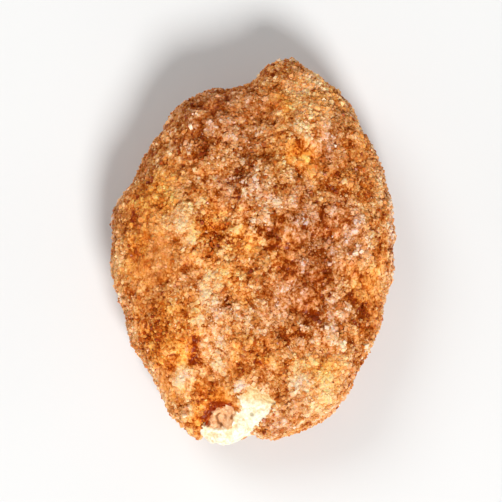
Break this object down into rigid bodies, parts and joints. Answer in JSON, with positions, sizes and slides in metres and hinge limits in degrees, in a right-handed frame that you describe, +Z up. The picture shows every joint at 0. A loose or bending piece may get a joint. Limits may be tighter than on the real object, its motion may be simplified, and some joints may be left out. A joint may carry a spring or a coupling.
{
  "type": "toffee pecan",
  "caption": "Sugared toffee pecan: a pecan half in a thick, lumpy, crystallised toffee coat, chipped at its blunt end so that the pale kernel shows.",
  "frame": {"origin": "under the middle of the piece's bounding box, on the surface that it lies on", "axes": "+Y along the piece from its blunt, chipped end to its thin end; +Z up, out of the ridged side; +X to the right of the ridge"},
  "size_m": [0.0256, 0.0356, 0.0114],
  "materials": {
    "toffee_coat": "satin",
    "pecan_kernel": "matte"
  },
  "bodies": {
    "root": {"toffee_coat": "toffee_coat", "pecan_kernel": "pecan_kernel"}
  },
  "joints": []
}
